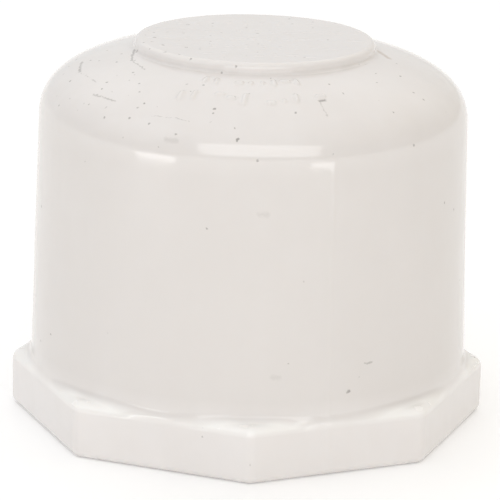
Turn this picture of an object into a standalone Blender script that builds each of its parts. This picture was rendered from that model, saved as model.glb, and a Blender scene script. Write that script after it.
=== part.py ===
"""Threaded pipe cap for 3/4 inch plastic pipe, moulded in one piece.

The cap stands on its open mouth. Z is the axis of the pipe, the origin is the centre of the rim, and
one corner of the eight-sided collar points to -Y. Run it with blender --background --python part.py.
"""

import math

import bmesh
import bpy

MM = 0.001
SEGMENTS = 64  # facets round every turned face and every turn of thread, so that their edges line up

# Wall, shoulder and crown
BODY_BASE_RADIUS = 17.4 * MM
DRAFT = math.radians(1.45)  # the wall leans in towards the top, so that the cap leaves its mould
WALL_TOP = 24.2 * MM
SHOULDER_HANDLE = 3.1 * MM  # how far the shoulder's curve keeps close to the wall
CROWN_HANDLE = 3.9 * MM  # and how far it keeps close to the slope of the crown
CROWN_SLOPE = math.radians(12)
SHOULDER_STEPS = 10

# Round pad on top
PAD_RADIUS = 9.4 * MM
PAD_FOOT = 29.4 * MM
PAD_TOP = 30.2 * MM
PAD_EDGE_ROUND = 0.35 * MM

# Eight-sided collar for a wrench
COLLAR_SIDES = 8
ACROSS_FLATS = 34.9 * MM  # 1-3/8 inch
COLLAR_HEIGHT = 4.5 * MM
COLLAR_CORNER_ROUND = 1.15 * MM  # radius
COLLAR_EDGE_ROUND = 0.45 * MM

# Taper pipe thread, 14 turns to the inch, right-handed
THREAD_PITCH = 25.4 * MM / 14
THREAD_TAPER = 1 / 32  # change of radius along the axis
THREAD_PITCH_RADIUS = 12.56 * MM  # at the mouth
THREAD_DEPTH = 1.3 * MM
THREAD_FLANK = math.radians(30)
THREAD_START = -1.0 * MM  # below the rim, so that the groove runs out through the chamfer
THREAD_TURNS = 8.3
RUN_OUT_TURNS = 0.5  # the groove gets shallower over its last part of a turn

# The space inside
MOUTH_RADIUS = 13.7 * MM
MOUTH_CHAMFER = 1.6 * MM
BORE_END = 14.6 * MM
CHAMBER_RADIUS = 11.1 * MM
CHAMBER_START = 15.2 * MM
CHAMBER_TOP = 25.4 * MM
CHAMBER_ROUND = 2.4 * MM

CUT_OVERRUN = 1.0 * MM
GROOVE_OVERRUN = 0.09 * MM  # how far the cut for the groove reaches into the open bore
BURIED = 0.6 * MM  # how far the turned body reaches down inside the collar
SMOOTH_ANGLE = math.radians(25)
WELD_DISTANCE = 0.005 * MM  # points closer together than this become one


def clear_scene():
    for obj in list(bpy.data.objects):
        bpy.data.objects.remove(obj)


def white_plastic():
    material = bpy.data.materials.new("white_plastic")
    material.use_nodes = True
    shader = material.node_tree.nodes["Principled BSDF"]
    shader.inputs["Base Color"].default_value = (0.80, 0.77, 0.73, 1.0)
    shader.inputs["Roughness"].default_value = 0.35
    shader.inputs["Metallic"].default_value = 0.0
    return material


def bezier(start, start_handle, end_handle, end, steps):
    """Points (r, z) along a cubic curve, with both of its ends."""
    points = []
    for i in range(steps + 1):
        t = i / steps
        s = 1 - t
        weights = (s**3, 3 * s * s * t, 3 * s * t * t, t**3)
        knots = (start, start_handle, end_handle, end)
        points.append(tuple(sum(w * k[axis] for w, k in zip(weights, knots)) for axis in range(2)))
    return points


def quarter_round(radius, outer, top, steps):
    """Points (r, z) on a quarter circle, from a face at radius outer up and over to a face at height top."""
    points = []
    for i in range(steps + 1):
        angle = math.pi / 2 * i / steps
        points.append((outer - radius + radius * math.cos(angle), top - radius + radius * math.sin(angle)))
    return points


def object_from(bm, name):
    bmesh.ops.recalc_face_normals(bm, faces=bm.faces)
    mesh = bpy.data.meshes.new(name)
    bm.to_mesh(mesh)
    bm.free()
    obj = bpy.data.objects.new(name, mesh)
    bpy.context.scene.collection.objects.link(obj)
    return obj


def turned(name, profile):
    """A solid of revolution about Z, from (r, z) points whose first and last lie on the axis."""
    bm = bmesh.new()
    points = [bm.verts.new((r, 0.0, z)) for r, z in profile]
    edges = [bm.edges.new(pair) for pair in zip(points, points[1:])]
    bmesh.ops.spin(
        bm,
        geom=points + edges,
        cent=(0, 0, 0),
        axis=(0, 0, 1),
        angle=2 * math.pi,
        steps=SEGMENTS,
        use_duplicate=False,
    )
    bmesh.ops.remove_doubles(bm, verts=bm.verts, dist=0.001 * MM)
    return object_from(bm, name)


def wall_radius(z):
    return BODY_BASE_RADIUS - z * math.tan(DRAFT)


def body_profile():
    """Outline of the turned body, from the axis inside the collar, over the shoulder, to the pad's middle."""
    foot = COLLAR_HEIGHT - BURIED
    wall_end = (wall_radius(WALL_TOP), WALL_TOP)
    wall_handle = (wall_radius(WALL_TOP + SHOULDER_HANDLE), WALL_TOP + SHOULDER_HANDLE)
    crown_handle = (
        PAD_RADIUS + CROWN_HANDLE * math.cos(CROWN_SLOPE),
        PAD_FOOT - CROWN_HANDLE * math.sin(CROWN_SLOPE),
    )
    return [
        (0.0, foot),
        (wall_radius(foot), foot),
        *bezier(wall_end, wall_handle, crown_handle, (PAD_RADIUS, PAD_FOOT), SHOULDER_STEPS),
        *quarter_round(PAD_EDGE_ROUND, PAD_RADIUS, PAD_TOP, 3),
        (0.0, PAD_TOP),
    ]


def round_edges(bm, edges, width, segments):
    bmesh.ops.bevel(
        bm,
        geom=edges,
        offset=width,
        offset_type="OFFSET",
        segments=segments,
        profile=0.5,
        affect="EDGES",
    )


def collar():
    """The eight-sided collar as a solid prism with rounded corners and edges."""
    bm = bmesh.new()
    corner = ACROSS_FLATS / 2 / math.cos(math.pi / COLLAR_SIDES)
    angles = [2 * math.pi * k / COLLAR_SIDES - math.pi / 2 for k in range(COLLAR_SIDES)]
    outline = [bm.verts.new((corner * math.cos(a), corner * math.sin(a), 0.0)) for a in angles]
    base = bm.faces.new(outline)
    raised = bmesh.ops.extrude_face_region(bm, geom=[base])
    top = [item for item in raised["geom"] if isinstance(item, bmesh.types.BMVert)]
    bmesh.ops.translate(bm, verts=top, vec=(0, 0, COLLAR_HEIGHT))
    upright = [e for e in bm.edges if abs(e.verts[0].co.z - e.verts[1].co.z) > COLLAR_HEIGHT / 2]
    round_edges(bm, upright, COLLAR_CORNER_ROUND * math.tan(math.pi / COLLAR_SIDES), 3)
    level = [e for e in bm.edges if abs(e.verts[0].co.z - e.verts[1].co.z) < COLLAR_HEIGHT / 2]
    round_edges(bm, level, COLLAR_EDGE_ROUND, 2)
    return object_from(bm, "collar")


def bore_radius(z):
    """Radius of the bore at the crest of the thread."""
    return THREAD_PITCH_RADIUS - THREAD_DEPTH / 2 - z * THREAD_TAPER


def cavity():
    """The space inside without its thread: chamfered mouth, tapering bore and plain chamber."""
    return turned(
        "cavity",
        [
            (0.0, -CUT_OVERRUN),
            (MOUTH_RADIUS, -CUT_OVERRUN),
            (MOUTH_RADIUS, 0.0),
            (bore_radius(MOUTH_CHAMFER), MOUTH_CHAMFER),
            (bore_radius(BORE_END), BORE_END),
            (CHAMBER_RADIUS, CHAMBER_START),
            *quarter_round(CHAMBER_ROUND, CHAMBER_RADIUS, CHAMBER_TOP, 4),
            (0.0, CHAMBER_TOP),
        ],
    )


def groove_section(step, steps):
    """Corners (r, z) of the cut for the groove at one facet's edge, after that many facets."""
    z = THREAD_START + THREAD_PITCH * step / SEGMENTS
    share = min(1.0, (steps - step) / (RUN_OUT_TURNS * SEGMENTS))
    inner = bore_radius(z) - GROOVE_OVERRUN
    shallow = bore_radius(z) - GROOVE_OVERRUN / 2
    root = shallow + (bore_radius(z) + THREAD_DEPTH - shallow) * share
    half_root = (THREAD_PITCH / 2 - THREAD_DEPTH * math.tan(THREAD_FLANK)) / 2
    half_mouth = half_root + (root - inner) * math.tan(THREAD_FLANK)
    return [(inner, z - half_mouth), (root, z - half_root), (root, z + half_root), (inner, z + half_mouth)]


def thread_groove():
    """The helical groove as one solid coil. It starts in the open mouth and ends inside the open bore."""
    steps = round(THREAD_TURNS * SEGMENTS)
    bm = bmesh.new()
    rings = []
    for step in range(steps + 1):
        angle = 2 * math.pi * step / SEGMENTS
        section = groove_section(step, steps)
        rings.append([bm.verts.new((r * math.cos(angle), r * math.sin(angle), z)) for r, z in section])
    for ring, following in zip(rings, rings[1:]):
        for k in range(len(ring)):
            after = (k + 1) % len(ring)
            bm.faces.new((ring[k], ring[after], following[after], following[k]))
    bm.faces.new(rings[0])
    bm.faces.new(rings[-1])
    return object_from(bm, "thread_groove")


def weld(mesh):
    """Merges points that a cut left almost on top of each other, so that the solid stays closed."""
    bm = bmesh.new()
    bm.from_mesh(mesh)
    bmesh.ops.dissolve_degenerate(bm, dist=WELD_DISTANCE, edges=bm.edges)
    bmesh.ops.remove_doubles(bm, verts=bm.verts, dist=WELD_DISTANCE)
    bm.to_mesh(mesh)
    bm.free()


def combine(target, tool, operation):
    """Joins the tool to the target or cuts it away, and takes the tool out of the scene."""
    modifier = target.modifiers.new(operation.title(), "BOOLEAN")
    modifier.operation = operation
    modifier.object = tool
    modifier.solver = "EXACT"
    graph = bpy.context.evaluated_depsgraph_get()
    made = bpy.data.meshes.new_from_object(target.evaluated_get(graph))
    target.modifiers.clear()
    weld(made)
    target.data = made
    bpy.data.objects.remove(tool)


def cap_body():
    """The moulding: turned body, wrench collar, hollow and internal thread, as one closed solid."""
    body = turned("cap_body", body_profile())
    combine(body, collar(), "UNION")
    combine(body, cavity(), "DIFFERENCE")
    combine(body, thread_groove(), "DIFFERENCE")
    body.data.materials.append(white_plastic())
    body.data.shade_smooth()
    body.data.set_sharp_from_angle(angle=SMOOTH_ANGLE)


clear_scene()
cap_body()
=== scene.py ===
"""Looks of the threaded pipe cap: a fine mesh of the moulding, its plastic, and a plain studio."""

import math

import bpy
import numpy as np
from mathutils import Matrix, Vector


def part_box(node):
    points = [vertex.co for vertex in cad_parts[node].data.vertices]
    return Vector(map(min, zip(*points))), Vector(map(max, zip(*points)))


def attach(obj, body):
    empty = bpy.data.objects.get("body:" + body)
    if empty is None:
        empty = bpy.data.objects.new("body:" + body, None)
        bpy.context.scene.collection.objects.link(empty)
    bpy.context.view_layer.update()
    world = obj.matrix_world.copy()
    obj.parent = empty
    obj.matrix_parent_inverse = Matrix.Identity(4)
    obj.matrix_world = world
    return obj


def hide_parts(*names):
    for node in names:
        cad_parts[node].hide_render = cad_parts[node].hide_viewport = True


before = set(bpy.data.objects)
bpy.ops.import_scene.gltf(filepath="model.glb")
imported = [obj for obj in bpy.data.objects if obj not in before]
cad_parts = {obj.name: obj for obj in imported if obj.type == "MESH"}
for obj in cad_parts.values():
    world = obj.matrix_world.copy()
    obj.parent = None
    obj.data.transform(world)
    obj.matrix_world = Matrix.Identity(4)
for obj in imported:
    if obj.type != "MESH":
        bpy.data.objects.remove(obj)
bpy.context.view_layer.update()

MM = 0.001
_, cad_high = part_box("cap_body")
TOP = cad_high[2]
CORNER_REACH = cad_high[0]  # from the axis to the rounded corners of the collar
FRONT = -math.pi / 2  # the angle round the axis that faces the camera

# Wall, shoulder and crown
WALL_BASE_RADIUS = 17.4 * MM
DRAFT = math.radians(1.45)
WALL_TOP = TOP - 6.0 * MM
SHOULDER_HANDLE = 3.1 * MM
CROWN_HANDLE = 3.9 * MM
CROWN_SLOPE = math.radians(12)
CROWN_EDGE = 15.0 * MM  # radius past which the crown carries no raised marks

# Pad
PAD_RADIUS = 9.4 * MM
PAD_FOOT = TOP - 0.8 * MM
PAD_EDGE_ROUND = 0.48 * MM
PAD_FOOT_ROUND = 0.3 * MM

# Collar
SIDES = 8
SECTOR = 2 * math.pi / SIDES
COLLAR_HEIGHT = 4.5 * MM
CORNER_ROUND = 1.15 * MM
LEDGE_ROUND = 0.82 * MM
RIM_ROUND = 0.65 * MM
LEDGE_FILLET = 0.6 * MM
WALL_FOOT = 1.0 * MM  # the wall begins inside the collar
FILLET_START = 3.2 * MM  # height from which the fillet grows to its full size at the ledge
APOTHEM = (CORNER_REACH - CORNER_ROUND) * math.cos(SECTOR / 2) + CORNER_ROUND

# Inside
RIM_INNER_REACH = 0.12 * MM  # from the mouth's edge out to where the flat rim begins
RIM_BRIDGE = 0.6 * MM  # width of the ring where the coarse columns meet the fine ones
MOUTH_EDGE_ROUND = 0.02 * MM
THREAD_PITCH = 25.4 * MM / 14
THREAD_TAPER = 1 / 32  # change of radius along the axis
THREAD_RADIUS = 12.56 * MM  # halfway up the thread, at the mouth
THREAD_DEPTH = 1.3 * MM
THREAD_FULL_DEPTH = THREAD_PITCH * math.sqrt(3) / 2  # if its crests and roots were sharp
THREAD_START = -1.0 * MM
THREAD_END = THREAD_START + 8.3 * THREAD_PITCH
THREAD_SOFTNESS = 8  # the higher, the sharper the crests and roots
MOUTH_RADIUS = 13.7 * MM
MOUTH_SLOPE = 1.15
BORE_END = 14.6 * MM
CHAMBER_RADIUS = 11.1 * MM
CHAMBER_START = 15.2 * MM
CHAMBER_TOP = TOP - 4.8 * MM
CHAMBER_ROUND = 2.4 * MM

# Mesh density
SHOULDER_POINTS = 900
ARC_POINTS = 40
PAD_POINTS = 400
PAD_HOLE = 0.25 * MM  # radius of the innermost ring on the pad, closed by a fan
COLUMNS = 400
INNER_RATIO = 4  # outer columns to each column inside
FRONT_CROWDING = (1.3, math.radians(36))  # extra columns, and the angle over which they fade
CORNER_CROWDING = (3.5, math.radians(1.7))
LINE_CROWDING = (4.0, math.radians(1.2))
CROWN_DENSITY, SHOULDER_DENSITY, WALL_DENSITY = 1.0, 0.5, 0.12
UPPER_SPACING = 0.15 * MM
UPPER_TURN = 0.35 * MM  # extra length that a turn of one radian counts as
COLLAR_TURN = 1.6 * MM
COLLAR_ROWS = 44
THREAD_ROW_START = 0.09 * MM
THREAD_ROW_STEP = 0.112 * MM
FAN_RAYS = 500
FAN_CENTRE = (14.5 * MM, 2.2 * MM)
FAN_REACH = 9 * MM
FAN_HALVINGS = 34
RIM_SPLIT = 15.0 * MM  # radius on the flat rim where the two densities meet
PLAIN_WALL = 7.0 * MM  # above this height the collar no longer shapes the wall

# Raised marks: bars and dots in place of lettering, one to a cell
MARK_KINDS = ("upright", "level", "dot", "gap")
MARK_CHANCES = (0.4, 0.25, 0.2, 0.15)
SLOPE_MARK_SEED = 11
PAD_MARK_SEED = 31
MARK_WIDTH = 0.27 * MM  # from the ridge of a mark to its foot
SLOPE_MARK_RELIEF = 0.2 * MM
SLOPE_MARK_ROWS = (  # radius, length of the row, height of a mark, pitch
    (10.9 * MM, 7.8 * MM, 1.0 * MM, 0.86 * MM),
    (13.2 * MM, 11.6 * MM, 1.3 * MM, 0.97 * MM),
)
PAD_MARK_RELIEF = 0.03 * MM
PAD_MARK_ROWS = (-6.2 * MM, -3.4 * MM, -0.6 * MM, 2.3 * MM, 5.4 * MM)
PAD_MARK_HEIGHT = 1.2 * MM
PAD_MARK_PITCH = 1.3 * MM
PAD_MARK_REACH = 8.0 * MM

# A fine upright line over the wall and the collar
LINE_ANGLE = math.radians(20)  # from the front towards +X
LINE_RISE = 0.025 * MM
LINE_WIDTH = 0.22 * MM
LINE_LOWEST = -0.5  # sine of the lowest ray of the collar's fan that carries the line
LINE_FADE = 1 * MM  # the line fades out over this much on either side of the wall's top

# Slight moulding waves round the wall and crown
WAVE_FADE_IN = 6 * MM  # height over which they grow, above the collar
WAVE_FADE_OUT = 4 * MM  # radius inside which they die away on the pad


# ---------------------------------------------------------------- outlines, as points (r, z)


def wall_radius(z):
    """Radius of the drafted wall at a height."""
    return WALL_BASE_RADIUS - z * math.tan(DRAFT)


def bezier(knots, count):
    """Points along a curve from its start, leaving, arriving and end points."""
    t = np.linspace(0, 1, count)[:, None]
    start, leave, arrive, end = (np.array(k) for k in knots)
    return (1 - t) ** 3 * start + 3 * (1 - t) ** 2 * t * leave + 3 * (1 - t) * t * t * arrive + t**3 * end


def arc(centre, radius, start, end, count):
    """Points along an arc between two angles in degrees."""
    a = np.radians(np.linspace(start, end, count))
    return np.column_stack([centre[0] + radius * np.cos(a), centre[1] + radius * np.sin(a)])


def line(start, end, count=60):
    """Points along a straight line."""
    return np.column_stack([np.linspace(start[k], end[k], count) for k in range(2)])


def upper_outline():
    """The wall above the collar, the shoulder, the crown and the pad, to the pad's middle."""
    wall_end = (wall_radius(WALL_TOP), WALL_TOP)
    foot_end = (PAD_RADIUS + PAD_FOOT_ROUND, PAD_FOOT - PAD_FOOT_ROUND * math.tan(CROWN_SLOPE))
    shoulder = bezier(
        [
            wall_end,
            (wall_radius(WALL_TOP + SHOULDER_HANDLE), WALL_TOP + SHOULDER_HANDLE),
            (
                foot_end[0] + CROWN_HANDLE * math.cos(CROWN_SLOPE),
                foot_end[1] - CROWN_HANDLE * math.sin(CROWN_SLOPE),
            ),
            foot_end,
        ],
        SHOULDER_POINTS,
    )
    foot_middle = (foot_end[0], foot_end[1] + PAD_FOOT_ROUND)
    edge_middle = (PAD_RADIUS - PAD_EDGE_ROUND, TOP - PAD_EDGE_ROUND)
    foot = arc(foot_middle, PAD_FOOT_ROUND, 262, 180, ARC_POINTS)
    edge = arc(edge_middle, PAD_EDGE_ROUND, 0, 90, ARC_POINTS)
    wall = line((wall_radius(PLAIN_WALL), PLAIN_WALL), wall_end)
    pad = line((PAD_RADIUS - PAD_EDGE_ROUND, TOP), (PAD_HOLE, TOP), PAD_POINTS)
    return np.concatenate([wall[:-1], shoulder, foot, edge, pad[1:]])


def cut_into(points, count=None, spacing=None, turn=0.0, density=None):
    """New points along a polyline, closer where it turns and where density asks for it."""
    steps = np.diff(points, axis=0)
    length = np.hypot(steps[:, 0], steps[:, 1])
    heading = np.unwrap(np.arctan2(steps[:, 1], steps[:, 0]))
    turning = np.abs(np.append(0, np.diff(heading)))
    middle = (points[1:] + points[:-1]) / 2
    weight = length * (density(middle) if density else 1.0) + turn * turning
    total = np.append(0, np.cumsum(weight))
    count = count or round(total[-1] / spacing) + 1
    wanted = np.linspace(0, total[-1], count)
    return np.column_stack([np.interp(wanted, total, points[:, k]) for k in range(2)])


def upper_density(middle):
    """Sparse on the plain wall, and fine on the crown and the pad, which carry the raised marks."""
    r, z = middle[:, 0], middle[:, 1]
    crown = (r < CROWN_EDGE) & (z > WALL_TOP)
    return np.where(crown, CROWN_DENSITY, np.where(z > WALL_TOP, SHOULDER_DENSITY, WALL_DENSITY))


def off_line(angle):
    """How far an angle is past the upright line, from minus pi to pi."""
    return (angle - FRONT - LINE_ANGLE + math.pi) % (2 * math.pi) - math.pi


def line_rise(angle):
    """How far the upright line stands out at an angle."""
    return LINE_RISE * np.exp(-((off_line(angle) * WALL_BASE_RADIUS / LINE_WIDTH) ** 2))


def crowd(angle, crowding):
    """Extra columns near angle zero."""
    extra, reach = crowding
    return extra * np.exp(-((angle / reach) ** 2))


def column_angles():
    """Angles round the axis, closer together at the front and at the collar's corners."""
    fine = np.linspace(-math.pi, math.pi, 20001)
    off_front = np.abs((fine - FRONT + math.pi) % (2 * math.pi) - math.pi)
    off_corner = (fine - FRONT + SECTOR / 2) % SECTOR - SECTOR / 2
    front_extra, front_reach = FRONT_CROWDING
    density = 1 + front_extra * np.exp(-((off_front / front_reach) ** 4))
    density += crowd(off_corner, CORNER_CROWDING)
    density += crowd(off_line(fine), LINE_CROWDING)
    total = np.append(0, np.cumsum((density[1:] + density[:-1]) / 2))
    return np.interp(np.arange(COLUMNS) / COLUMNS * total[-1], total, fine)


# ---------------------------------------------------------------- collar


def octagon_distance(r, angle):
    """How far a point is outside the collar's rounded octagon, negative inside it."""
    off_flat = (angle - FRONT) % SECTOR - SECTOR / 2
    across, along = r * np.cos(off_flat), np.abs(r * np.sin(off_flat))
    flat = APOTHEM - CORNER_ROUND
    half_side = flat * math.tan(SECTOR / 2)
    beyond = np.maximum(along - half_side, 0)
    outside = np.hypot(np.maximum(across - flat, 0), beyond)
    return np.where(across > flat, outside, across - flat) - CORNER_ROUND


def moulding_distance(r, z, angle):
    """How far a point is outside the collar and the wall's foot, with a fillet between the two."""
    edge = np.where(z > COLLAR_HEIGHT / 2, LEDGE_ROUND, RIM_ROUND)
    side = octagon_distance(r, angle) + edge
    level = np.abs(z - COLLAR_HEIGHT / 2) - COLLAR_HEIGHT / 2 + edge
    collar = np.minimum(np.maximum(side, level), 0) - edge
    collar += np.hypot(np.maximum(side, 0), np.maximum(level, 0))
    wall = np.maximum((r - wall_radius(z)) * math.cos(DRAFT), WALL_FOOT - z)
    share = np.clip((z - FILLET_START) / (COLLAR_HEIGHT - FILLET_START), 0, 1)
    fillet = LEDGE_FILLET * share * share * (3 - 2 * share)
    blend = np.hypot(np.maximum(fillet - collar, 0), np.maximum(fillet - wall, 0))
    return np.maximum(fillet, np.minimum(collar, wall)) - blend


def collar_rows(angles):
    """Rows of points (r, z) from the flat rim, over the collar, to the plain wall."""
    centre_r, centre_z = FAN_CENTRE
    first = math.atan2(-centre_z, RIM_SPLIT - centre_r)
    last = math.atan2(PLAIN_WALL - centre_z, wall_radius(PLAIN_WALL) - centre_r)
    rays = np.linspace(first, last, FAN_RAYS)[:, None]
    seam = np.where(np.sin(rays) > LINE_LOWEST, line_rise(angles)[None, :], 0.0)
    near = np.zeros((FAN_RAYS, len(angles)))
    far = np.full_like(near, FAN_REACH)
    for _ in range(FAN_HALVINGS):
        reach = (near + far) / 2
        outside = moulding_distance(
            centre_r + reach * np.cos(rays), centre_z + reach * np.sin(rays), angles[None, :]
        ) - seam
        near = np.where(outside < 0, reach, near)
        far = np.where(outside < 0, far, reach)
    r = centre_r + far * np.cos(rays)
    z = centre_z + far * np.sin(rays)
    columns = [
        cut_into(np.column_stack([r[:, k], z[:, k]]), count=COLLAR_ROWS, turn=COLLAR_TURN)
        for k in range(len(angles))
    ]
    return np.stack(columns, axis=1)


# ---------------------------------------------------------------- inside


def bore_radius(z):
    """Radius at the thread's crests."""
    return THREAD_RADIUS - THREAD_DEPTH / 2 - z * THREAD_TAPER


def hollow_radius(z, angle):
    """Radius of the mouth's chamfer, the thread and the bore at a height, all in one."""
    turns = (z - THREAD_START) / THREAD_PITCH - angle / (2 * math.pi) + 0.5
    phase = turns % 1.0
    rise = THREAD_FULL_DEPTH * (0.5 - np.abs(2 * phase - 1))
    half = THREAD_DEPTH / 2
    rounded = rise / (1 + np.abs(rise / half) ** THREAD_SOFTNESS) ** (1 / THREAD_SOFTNESS)
    groove_height = z - THREAD_PITCH * (phase - 0.5)
    share = np.clip((THREAD_END - groove_height) / (THREAD_PITCH / 2), 0, 1)
    thread = bore_radius(z) + (rounded + half) * share
    return np.maximum(thread, MOUTH_RADIUS - MOUTH_SLOPE * z)


def inner_rows(angles):
    """Rows of points (r, z) from the flat rim, up the thread and chamber, to the middle of the roof."""
    rim = [
        (RIM_SPLIT - RIM_BRIDGE, 0.0),
        (MOUTH_RADIUS + RIM_INNER_REACH, 0.0),
        (MOUTH_RADIUS + MOUTH_EDGE_ROUND, MOUTH_EDGE_ROUND),
    ]
    rows = [np.tile(point, (len(angles), 1)) for point in rim]
    for z in np.arange(THREAD_ROW_START, BORE_END, THREAD_ROW_STEP):
        rows.append(np.column_stack([hollow_radius(z, angles), np.full(len(angles), z)]))
    round_r = CHAMBER_RADIUS - CHAMBER_ROUND
    round_z = CHAMBER_TOP - CHAMBER_ROUND
    upper = np.concatenate([
        line((CHAMBER_RADIUS, CHAMBER_START), (CHAMBER_RADIUS, round_z), 5),
        arc((round_r, round_z), CHAMBER_ROUND, 10, 90, 9),
        line((round_r - 1.5 * MM, CHAMBER_TOP), (1.0 * MM, CHAMBER_TOP), 5),
    ])
    rows += [np.tile(point, (len(angles), 1)) for point in upper]
    return np.stack(rows)


# ---------------------------------------------------------------- raised marks


def mark_row(seed, length, height, pitch):
    """One upright bar, level bar or dot in most cells of a row, as (u, v, angle, half length)."""
    random = np.random.default_rng(seed)
    made = []
    for u in np.arange(-length / 2, length / 2 + pitch / 2, pitch):
        kind = random.choice(MARK_KINDS, p=MARK_CHANCES)
        v = random.uniform(-0.25, 0.25) * height
        lean = random.uniform(-0.1, 0.1)
        if kind == "upright":
            made.append((u, v / 2, math.pi / 2 + lean, height * random.uniform(0.25, 0.4)))
        elif kind == "level":
            made.append((u, v * 1.6, lean, pitch * random.uniform(0.15, 0.3)))
        elif kind == "dot":
            made.append((u, v * 1.6, 0.0, 0.0))
    return made


def relief(u, v, marks):
    """Height, from 0 to 1, of soft-edged marks at points (u, v)."""
    height = np.zeros_like(u)
    for mark_u, mark_v, turn, half in marks:
        du, dv = u - mark_u, v - mark_v
        along = np.clip(du * math.cos(turn) + dv * math.sin(turn), -half, half)
        away = np.hypot(du - along * math.cos(turn), dv - along * math.sin(turn))
        step = np.clip(1 - away / MARK_WIDTH, 0, 1)
        height = np.maximum(height, step * step * (3 - 2 * step))
    return height


def slope_relief(r, angle):
    """Two rows of marks on the front of the crown."""
    off_front = (angle - FRONT + math.pi) % (2 * math.pi) - math.pi
    total = np.zeros(np.broadcast(r, off_front).shape)
    for k, (radius, length, height, pitch) in enumerate(SLOPE_MARK_ROWS):
        marks = mark_row(SLOPE_MARK_SEED + k, length, height, pitch)
        total = np.maximum(total, relief(off_front * radius, r - radius, marks))
    return total


def pad_relief(x, y):
    """Rows of very low marks across the pad."""
    total = np.zeros_like(x)
    for k, row in enumerate(PAD_MARK_ROWS):
        length = 2 * math.sqrt(PAD_MARK_REACH**2 - row**2)
        marks = mark_row(PAD_MARK_SEED + k, length, PAD_MARK_HEIGHT, PAD_MARK_PITCH)
        total = np.maximum(total, relief(x, y - row, marks))
    return total


def moulding_wave(r, z, angles):
    """A slight unevenness of the surface, none at the collar or in the middle of the pad."""
    fade = min(1.0, (z - PLAIN_WALL) / WAVE_FADE_IN) * min(1.0, r / WAVE_FADE_OUT)
    wave = 0.012 * np.sin(2 * angles + 0.6) + 0.008 * np.sin(5 * angles + z / MM * 0.35)
    return fade * MM * wave


def upper_rows(angles):
    """Rows of points (r, z) over the wall, crown and pad, with the raised marks and the waves."""
    outline = cut_into(
        upper_outline(), spacing=UPPER_SPACING, turn=UPPER_TURN, density=upper_density
    )
    tangent = np.gradient(outline, axis=0)
    tangent /= np.hypot(tangent[:, 0], tangent[:, 1])[:, None]
    normal = np.column_stack([tangent[:, 1], -tangent[:, 0]])
    rows = []
    for (r, z), (out, up) in zip(outline[1:], normal[1:]):
        lift = np.zeros(len(angles))
        if r < PAD_RADIUS - PAD_EDGE_ROUND:
            lift += PAD_MARK_RELIEF * pad_relief(r * np.cos(angles), r * np.sin(angles))
        elif r < CROWN_EDGE and z < PAD_FOOT:
            lift += SLOPE_MARK_RELIEF * slope_relief(r, angles)
        lift += moulding_wave(r, z, angles)
        lift += line_rise(angles) * np.clip((WALL_TOP + LINE_FADE - z) / (2 * LINE_FADE), 0, 1)
        rows.append(np.column_stack([r + out * lift, z + up * lift]))
    return np.stack(rows)


# ---------------------------------------------------------------- mesh


class Shell:
    """Collects rings of vertices and the faces between them."""

    def __init__(self):
        self.points = []
        self.faces = []

    def ring(self, angles, row):
        """Adds a ring of vertices, one (r, z) to each angle, and returns their numbers."""
        first = len(self.points)
        self.points += [(r * math.cos(a), r * math.sin(a), z) for a, (r, z) in zip(angles, row)]
        return list(range(first, len(self.points)))

    def bridge(self, lower, upper):
        """Joins two rings of the same size, facing out where the second is above the first."""
        for k in range(len(lower)):
            after = (k + 1) % len(lower)
            self.faces.append((lower[k], lower[after], upper[after], upper[k]))

    def bridge_uneven(self, coarse, fine):
        """Joins a ring to a finer one outside it, both flat and facing down."""
        ratio = len(fine) // len(coarse)
        for k in range(len(coarse)):
            after = (k + 1) % len(coarse)
            for part in range(ratio):
                near = coarse[k] if part < ratio / 2 else coarse[after]
                left = fine[k * ratio + part]
                right = fine[(k * ratio + part + 1) % len(fine)]
                self.faces.append((near, right, left))
            self.faces.append((coarse[k], coarse[after], fine[k * ratio + ratio // 2]))

    def close(self, ring, height, upwards):
        """Fills a ring with a fan of faces to a point on the axis."""
        self.points.append((0.0, 0.0, height))
        middle = len(self.points) - 1
        for k in range(len(ring)):
            pair = (ring[k], ring[(k + 1) % len(ring)])
            self.faces.append((*pair, middle) if upwards else (*reversed(pair), middle))

    def to_object(self, name):
        """Makes the mesh and its object, and puts it in the scene."""
        mesh = bpy.data.meshes.new(name)
        mesh.from_pydata(self.points, [], self.faces)
        mesh.validate()
        mesh.shade_smooth()
        obj = bpy.data.objects.new(name, mesh)
        bpy.context.scene.collection.objects.link(obj)
        return obj


def moulding():
    """The whole cap as one closed skin: outside, flat rim, thread, chamber and roof."""
    angles = column_angles()
    shell = Shell()
    outer = [shell.ring(angles, row) for row in collar_rows(angles)]
    outer += [shell.ring(angles, row) for row in upper_rows(angles)]
    for lower, upper in zip(outer, outer[1:]):
        shell.bridge(lower, upper)
    shell.close(outer[-1], TOP, upwards=True)
    inner_angles = angles[::INNER_RATIO]
    inner = [shell.ring(inner_angles, row) for row in inner_rows(inner_angles)]
    for lower, upper in zip(inner, inner[1:]):
        shell.bridge(upper, lower)
    shell.close(inner[-1], CHAMBER_TOP, upwards=False)
    shell.bridge_uneven(inner[0], outer[0])
    return shell.to_object("cap_moulding")


# ---------------------------------------------------------------- plastic

PLASTIC_DARK = (0.74, 0.708, 0.687, 1)
PLASTIC_LIGHT = (0.774, 0.744, 0.726, 1)
PLASTIC_FLOW = (0.711, 0.672, 0.637, 1)
# Painted shade: the wall's colour is darker than the crown's and the collar's
PLASTIC_WALL_SHADE = (0.635, 0.60, 0.57, 1)
# Pale colour of the wear on the collar's edges, also used for the painted highlight on the ledge
WEAR_AND_HIGHLIGHT_COLOUR = (0.90, 0.885, 0.86, 1)
# Colour of the faint darkening at the foot of the pad
FOOT_DARKENING_COLOUR = (0.36, 0.30, 0.22, 1)
BROWN_COLOUR = (0.33, 0.19, 0.08, 1)
SPECK_COLOUR = (0.16, 0.14, 0.12, 1)

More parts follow.
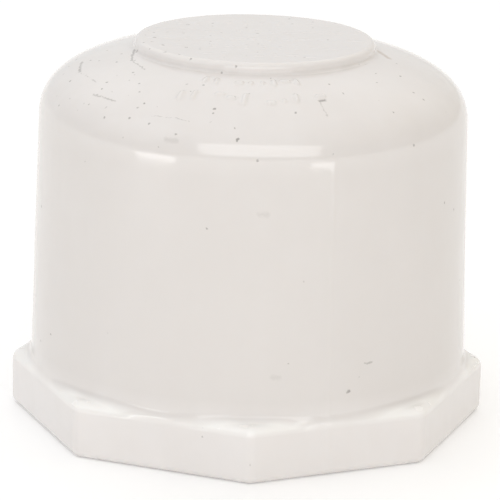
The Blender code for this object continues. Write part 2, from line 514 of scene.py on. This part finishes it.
# Noise scales, in features a metre
MOTTLE_SCALE = 130.0
FLOW_SCALE = 420.0
WAVINESS_SCALE = 620.0
FOOT_DARKENING_SCALE = 700.0
WEAR_SCALE = 900.0
GRAIN_SCALE = 2600.0
JITTER_SCALE = 3200.0
JITTER_REACH = 0.3 * MM  # width of the band in which the edges of specks and scuffs wander

SMALL_SPECKS = (1100.0, 0.14)  # cells a metre, and radius as a share of a cell
LARGE_SPECKS = (520.0, 0.08)
SMALL_SPECK_SHARES = (0.035, 0.8)  # cells with a speck, on the wall and where specks crowd
LARGE_SPECK_SHARES = (0.06, 0.75)

SOFT_EDGE = 0.3 * MM  # over which the darkening at the pad's foot and the wear fade out
LEDGE_RADII = (17.35 * MM, 17.7 * MM)  # over which the ledge comes clear of the wall
WEAR_RADII = (17.5 * MM, 17.9 * MM)


class Tree:
    """Adds nodes to a material, with values or links for their inputs."""

    def __init__(self, material):
        material.use_nodes = True
        self.nodes = material.node_tree.nodes
        self.links = material.node_tree.links

    def put(self, socket, value):
        """Links an output to the socket, or sets the socket's own value."""
        if isinstance(value, bpy.types.NodeSocket):
            self.links.new(value, socket)
        else:
            socket.default_value = value

    def add(self, kind, inputs=(), output=0, **settings):
        """Makes a node and returns one of its outputs."""
        node = self.nodes.new(kind)
        for key, value in settings.items():
            setattr(node, key, value)
        for key, value in dict(inputs).items():
            self.put(node.inputs[key], value)
        return node.outputs[output]

    def math(self, operation, *values, clamp=False):
        inputs = dict(enumerate(values))
        return self.add("ShaderNodeMath", inputs, operation=operation, use_clamp=clamp)

    def times(self, first, second):
        return self.math("MULTIPLY", first, second)

    def vector(self, operation, inputs, output=0):
        return self.add("ShaderNodeVectorMath", inputs, output, operation=operation)

    def part(self, where, axis):
        """One coordinate of a vector: 0, 1 or 2 for X, Y or Z."""
        return self.add("ShaderNodeSeparateXYZ", {0: where}, axis)

    def noise(self, where, scale, detail=2.0, roughness=0.5):
        inputs = {"Vector": where, "Scale": scale, "Detail": detail, "Roughness": roughness}
        return self.add("ShaderNodeTexNoise", inputs)

    def ramp(self, value, low, high, out_low=0.0, out_high=1.0):
        """Straight from out_low at low to out_high at high, and level outside them."""
        inputs = {0: value, 1: low, 2: high, 3: out_low, 4: out_high}
        return self.add("ShaderNodeMapRange", inputs, clamp=True)

    def mix(self, share, first, second):
        """The first colour where share is 0, and the second where it is 1."""
        return self.add("ShaderNodeMix", {0: share, 6: first, 7: second}, 2, data_type="RGBA")


def speck_mask(tree, where, specks, share):
    """Round specks at random: this share of the cells holds one each."""
    scale, size = specks
    node = tree.nodes.new("ShaderNodeTexVoronoi")
    tree.put(node.inputs["Vector"], where)
    tree.put(node.inputs["Scale"], scale)
    chance = tree.add("ShaderNodeSeparateColor", {"Color": node.outputs["Color"]})
    chosen = tree.math("LESS_THAN", chance, share)
    inside = tree.ramp(node.outputs["Distance"], size * 0.55, size, 1.0, 0.0)
    return tree.times(chosen, inside)


def crowding(tree, height, across, shares):
    """Share of cells with a speck: few on the wall, more on the crown, and most on the crown's left."""
    crown = tree.ramp(height, WALL_TOP, WALL_TOP + 3 * MM)
    left = tree.ramp(across, 6 * MM, -9 * MM, 0.25, 1.0)
    return tree.ramp(tree.times(crown, left), 0.0, 1.0, *shares)


def band_mask(tree, value, middle, half, soft):
    """1 within half of the middle value, fading to 0 over the soft distance on either side."""
    away = tree.math("ABSOLUTE", tree.math("SUBTRACT", value, middle))
    return tree.ramp(away, half, half + soft, 1.0, 0.0)


def stroke_mask(tree, where, start, end, width):
    """A thin stroke from one point to another, in metres, with soft sides."""
    start, end = Vector(start), Vector(end)
    along = end - start
    offset = tree.vector("SUBTRACT", {0: where, 1: start})
    dot = tree.vector("DOT_PRODUCT", {0: offset, 1: along}, output=1)
    share = tree.math("DIVIDE", dot, along.length_squared, clamp=True)
    step = tree.vector("SCALE", {0: along, "Scale": share})
    away = tree.vector("DISTANCE", {0: offset, 1: step}, output=1)
    return tree.ramp(away, width * 0.2, width * 1.1, 1.0, 0.0)


def turned(angle, r, z):
    """A point from its angle, in degrees from the front towards +X, its radius and its height."""
    a = FRONT + math.radians(angle)
    return (r * math.cos(a), r * math.sin(a), z)


def on_crown(angle, r):
    """A point on the crown, by its angle and its radius in mm."""
    outline = upper_outline()[::-1]
    return turned(angle, r * MM, float(np.interp(r * MM, outline[:, 0], outline[:, 1])))


def on_wall(angle, z):
    """A point on the wall, by its angle and its height in mm."""
    return turned(angle, wall_radius(z * MM), z * MM)


STROKES = (  # scuffs and smudges: start, end, width, strength
    (on_crown(-80, 9.5), on_crown(-65, 10.5), 0.13 * MM, 0.75),
    (on_crown(-65, 10.5), on_crown(-50, 11), 0.09 * MM, 0.55),
    (on_crown(-85, 13.5), on_crown(-75, 14), 0.14 * MM, 0.75),
    (on_crown(-75, 14), on_crown(-60, 14), 0.08 * MM, 0.4),
    (on_crown(-55, 15), on_crown(-45, 15), 0.11 * MM, 0.55),
    (on_crown(-30, 15.5), on_crown(-20, 15.5), 0.05 * MM, 0.4),
    (on_crown(20, 13.5), on_crown(22, 13.5), 0.18 * MM, 0.9),
    (on_crown(20, 13.5), on_crown(20, 15), 0.08 * MM, 0.4),
    (on_crown(-24, 16.5), on_crown(-21, 16.5), 0.24 * MM, 0.2),
    (on_crown(-140, 15), on_crown(-130, 14.5), 0.08 * MM, 0.5),
    (on_wall(30, 8.5), on_wall(32, 8.5), 0.10 * MM, 0.6),
    (on_wall(25, 6.5), on_wall(25.5, 6.5), 0.13 * MM, 1.0),
    (on_wall(1, 20.5), on_wall(3, 20.5), 0.25 * MM, 0.15),
    (on_wall(5, 8), on_wall(7, 8), 0.22 * MM, 0.14),
    (on_wall(150, 17), on_wall(158, 16), 0.12 * MM, 0.45),
)
BROWN_MARK = (on_crown(90, 9.5), on_crown(80, 10.5), 0.3 * MM)


def scuffs(tree, where):
    """All the strokes together, each at its own strength."""
    total = 0.0
    for start, end, width, strength in STROKES:
        mark = tree.times(stroke_mask(tree, where, start, end, width), strength)
        total = tree.math("MAXIMUM", total, mark)
    return total


def pad_foot_darkening(tree, where, radius, height):
    """Faint darkening at the foot of the pad, in broken patches."""
    foot = band_mask(tree, radius, PAD_RADIUS + 0.2 * MM, 0.1 * MM, SOFT_EDGE)
    foot = tree.times(foot, tree.ramp(height, TOP - 0.5 * MM, TOP - 0.3 * MM, 1.0, 0.0))
    foot = tree.times(foot, tree.ramp(height, TOP - 1.4 * MM, TOP - 1.0 * MM))
    return tree.times(foot, tree.ramp(tree.noise(where, FOOT_DARKENING_SCALE, 3.0), 0.4, 0.65))


def painted_ledge_highlight(tree, radius, height):
    """Painted highlight: the ledge painted pale where it stands out beyond the wall."""
    ledge = band_mask(tree, height, COLLAR_HEIGHT - 0.1 * MM, 0.3 * MM, 0.4 * MM)
    return tree.times(ledge, tree.ramp(radius, *LEDGE_RADII))


def painted_wall_shade(tree, height):
    """1 on the wall, painted slightly darker as painted shade, and 0 on the collar and crown."""
    above = tree.ramp(height, COLLAR_HEIGHT - 0.6 * MM, COLLAR_HEIGHT + 1.5 * MM)
    return tree.times(above, tree.ramp(height, WALL_TOP - 1 * MM, WALL_TOP + 3 * MM, 1.0, 0.0))


def edge_wear(tree, where, radius, height):
    """Rubbed patches along the collar's ledge and rim."""
    ledge = band_mask(tree, height, COLLAR_HEIGHT - 0.2 * MM, 0.2 * MM, SOFT_EDGE)
    rim = band_mask(tree, height, 0.1 * MM, 0.2 * MM, SOFT_EDGE)
    edges = tree.times(tree.math("MAXIMUM", ledge, rim), tree.ramp(radius, *WEAR_RADII))
    return tree.times(edges, tree.ramp(tree.noise(where, WEAR_SCALE, 3.0), 0.5, 0.62))


def jittered(tree, where):
    """The position, shifted a little to and fro so that edges come out ragged."""
    noise = {"Vector": where, "Scale": JITTER_SCALE, "Detail": 1.0}
    jitter = tree.add("ShaderNodeTexNoise", noise, output=1)
    centred = tree.vector("SUBTRACT", {0: jitter, 1: (0.5, 0.5, 0.5)})
    shift = tree.vector("SCALE", {0: centred, "Scale": JITTER_REACH})
    return tree.vector("ADD", {0: where, 1: shift})


def dark_marks(tree, where, height, across):
    """Specks and scuffs together."""
    small_share = crowding(tree, height, across, SMALL_SPECK_SHARES)
    large_share = crowding(tree, height, across, LARGE_SPECK_SHARES)
    small = speck_mask(tree, where, SMALL_SPECKS, small_share)
    large = speck_mask(tree, where, LARGE_SPECKS, large_share)
    specks = tree.math("MAXIMUM", tree.times(small, 0.7), large)
    return tree.math("MAXIMUM", specks, scuffs(tree, where))


def surface_relief(tree, where, marks, worn):
    """A bump of slight waviness and grain, sunk where the surface is marked or worn."""
    fine = tree.times(tree.noise(where, GRAIN_SCALE, 2.0), 0.12)
    height = tree.math("ADD", tree.noise(where, WAVINESS_SCALE, 2.0), fine)
    height = tree.math("SUBTRACT", height, tree.times(marks, 2.0))
    height = tree.math("SUBTRACT", height, tree.times(worn, 1.5))
    inputs = {"Height": height, "Distance": 0.006 * MM, "Strength": 1.0}
    return tree.add("ShaderNodeBump", inputs)


def white_plastic():
    """Moulded white plastic: mottling and flow, specks, scuffs, a little darkening at the pad's foot,
    rubbed collar edges, a painted highlight on the ledge and painted shade on the wall.
    """
    material = bpy.data.materials.new("moulded_white_plastic")
    tree = Tree(material)
    shader = tree.nodes["Principled BSDF"]
    where = tree.add("ShaderNodeTexCoord", output=3)
    across = tree.part(where, 0)
    height = tree.part(where, 2)
    level = tree.vector("MULTIPLY", {0: where, 1: (1.0, 1.0, 0.0)})
    radius = tree.vector("LENGTH", {0: level}, output=1)
    stretched = tree.add("ShaderNodeMapping", {"Vector": where, "Scale": (1.0, 1.0, 0.12)})
    mottle = tree.noise(where, MOTTLE_SCALE, 4.0, 0.6)
    flow = tree.noise(stretched, FLOW_SCALE, 2.0)

    ragged = jittered(tree, where)
    marks = dark_marks(tree, ragged, height, across)
    brown = stroke_mask(tree, ragged, *BROWN_MARK)
    # faint darkening at the foot of the pad
    foot_darkening = pad_foot_darkening(tree, where, radius, height)
    worn = edge_wear(tree, where, radius, height)
    # painted shade: the wall painted darker than the collar and crown
    wall = painted_wall_shade(tree, height)
    # painted highlight: the ledge painted pale
    ledge_highlight_paint = painted_ledge_highlight(tree, radius, height)

    base = tree.mix(tree.ramp(mottle, 0.3, 0.7), PLASTIC_DARK, PLASTIC_LIGHT)
    base = tree.mix(tree.ramp(flow, 0.35, 0.75, 0.0, 0.18), base, PLASTIC_FLOW)
    for mask, share, colour in (
        # painted shade on the wall
        (wall, 0.55, PLASTIC_WALL_SHADE),
        (foot_darkening, 0.07, FOOT_DARKENING_COLOUR),
        (worn, 0.15, WEAR_AND_HIGHLIGHT_COLOUR),
        # painted highlight on the ledge, in the wear colour
        (ledge_highlight_paint, 0.9, WEAR_AND_HIGHLIGHT_COLOUR),
        (brown, 0.4, BROWN_COLOUR),
        (marks, 0.7, SPECK_COLOUR),
    ):
        base = tree.mix(tree.times(mask, share), base, colour)
    rough = tree.ramp(mottle, 0.3, 0.7, 0.07, 0.12)
    rough = tree.math("ADD", rough, tree.times(tree.math("MAXIMUM", marks, worn), 0.2))

    for socket, value in (
        ("Base Color", base),
        ("Roughness", rough),
        ("Normal", surface_relief(tree, where, marks, worn)),
        ("Subsurface Weight", 0.2),
        ("Subsurface Radius", (1.0, 0.9, 0.8)),
        ("Subsurface Scale", 1.2 * MM),
        ("IOR", 1.53),
        ("Specular IOR Level", 0.7),
    ):
        tree.put(shader.inputs[socket], value)
    return material


# ---------------------------------------------------------------- studio

FLOOR_RADII = (3.0, 1.0, 0.3, 0.1, 0.03)
FLOOR_POINTS = 96
CARD_DARK = (0.93, 0.93, 0.93, 1)
CARD_LIGHT = (0.95, 0.95, 0.95, 1)

# Light from all round, and how the back, the top and the right change it
EVEN_GLOW = 0.42
BACK_GLOW = 0.42
TOP_GLOW = 0.66
WARM_SIDE = (0.95, 0.90, 0.82, 1)

LAMPS = (  # name, azimuth, elevation, distance, width and height, power, colour
    ("front_box", 3, 20, 0.60, (0.72, 0.29), 1.12, (1, 1, 1)),
    ("left_box", -75, 35, 0.70, (0.50, 0.50), 0.22, (1, 1, 1)),
    ("right_box", 80, 30, 0.70, (0.50, 0.50), 0.05, (1.0, 0.8, 0.55)),
    ("left_strip", -50, -4.4, 0.145, (0.056, 0.011), 0.0052, (1, 1, 1)),
    ("right_strip", 34, -5.0, 0.135, (0.028, 0.007), 0.0014, (1, 1, 1)),
)

CAMERA_AZIMUTH = math.radians(-1.2)
CAMERA_PITCH = math.radians(-15.86)
CAMERA_ROLL = math.radians(1.4)
CAMERA_DISTANCE = 242.2 * MM  # from the axis
CAMERA_HEIGHT = 81.8 * MM
CAMERA_LENS = 228.4
CAMERA_SENSOR = 36.0


def card():
    """Pale matt card with a faint glow, so that the floor stays nearly white."""
    material = bpy.data.materials.new("pale_card")
    tree = Tree(material)
    shader = tree.nodes["Principled BSDF"]
    where = tree.add("ShaderNodeTexCoord", output=3)
    fibre = tree.ramp(tree.noise(where, 60.0, 3.0), 0.3, 0.7)
    for socket, value in (
        ("Base Color", tree.mix(fibre, CARD_DARK, CARD_LIGHT)),
        ("Roughness", 0.9),
        ("Specular IOR Level", 0.1),
        ("Emission Color", (1.0, 1.0, 1.0, 1.0)),
        ("Emission Strength", 0.12),
    ):
        tree.put(shader.inputs[socket], value)
    return material


def floor():
    """A wide disc of pale card."""
    shell = Shell()
    angles = np.arange(FLOOR_POINTS) / FLOOR_POINTS * 2 * math.pi
    rings = [shell.ring(angles, np.tile((r, 0.0), (FLOOR_POINTS, 1))) for r in FLOOR_RADII]
    for lower, upper in zip(rings, rings[1:]):
        shell.bridge(lower, upper)
    shell.close(rings[-1], 0.0, upwards=True)
    obj = shell.to_object("floor")
    obj.data.materials.append(card())


def aim(obj, place, target):
    """Puts a lamp in its place, facing the target."""
    obj.location = place
    obj.rotation_euler = (Vector(target) - Vector(place)).to_track_quat("-Z", "Y").to_euler()


def softbox(name, azimuth, elevation, distance, size, power, colour):
    """A soft rectangular lamp. Azimuth counts from the camera's side towards +X, both in degrees."""
    target = Vector((0, 0, TOP * 0.6))
    a, e = math.radians(azimuth), math.radians(elevation)
    away = Vector((math.sin(a) * math.cos(e), -math.cos(a) * math.cos(e), math.sin(e)))
    data = bpy.data.lights.new(name, "AREA")
    data.shape = "RECTANGLE"
    data.size, data.size_y = size
    data.energy = power
    data.color = colour
    obj = bpy.data.objects.new(name, data)
    obj.visible_camera = False
    bpy.context.scene.collection.objects.link(obj)
    aim(obj, target + away * distance, target)


def surroundings():
    """Even light all round, brighter overhead and behind the cap, and warmer on the right."""
    world = bpy.data.worlds.new("studio")
    tree = Tree(world)
    direction = tree.add("ShaderNodeTexCoord")
    background = tree.nodes["Background"]
    right = tree.ramp(tree.part(direction, 0), 0.0, 0.8)
    behind = tree.ramp(tree.part(direction, 1), 0.0, 0.7, 0.0, BACK_GLOW)
    above = tree.ramp(tree.part(direction, 2), 0.3, 0.95, 0.0, TOP_GLOW)
    glow = tree.math("ADD", tree.math("ADD", behind, above), EVEN_GLOW)
    tree.put(background.inputs["Color"], tree.mix(right, (1, 1, 1, 1), WARM_SIDE))
    tree.put(background.inputs["Strength"], glow)
    bpy.context.scene.world = world


def studio():
    """The surroundings and the lamps."""
    surroundings()
    for lamp in LAMPS:
        softbox(*lamp)
    bpy.context.scene.view_settings.view_transform = "Standard"


def camera():
    """A long lens, a little above the cap, turned slightly about its own axis."""
    data = bpy.data.cameras.new("camera")
    data.lens = CAMERA_LENS
    data.sensor_width = CAMERA_SENSOR
    data.clip_start = 0.01
    obj = bpy.data.objects.new("camera", data)
    bpy.context.scene.collection.objects.link(obj)
    place = Vector((
        math.sin(CAMERA_AZIMUTH) * CAMERA_DISTANCE,
        -math.cos(CAMERA_AZIMUTH) * CAMERA_DISTANCE,
        CAMERA_HEIGHT,
    ))
    turn = Matrix.Rotation(CAMERA_AZIMUTH, 4, "Z")
    tilt = Matrix.Rotation(math.radians(90) + CAMERA_PITCH, 4, "X")
    roll = Matrix.Rotation(CAMERA_ROLL, 4, "Z")
    obj.matrix_world = Matrix.Translation(place) @ turn @ tilt @ roll
    bpy.context.scene.camera = obj


cap = moulding()
cap.data.materials.append(white_plastic())
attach(cap, "root")
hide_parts("cap_body")
floor()
studio()
camera()
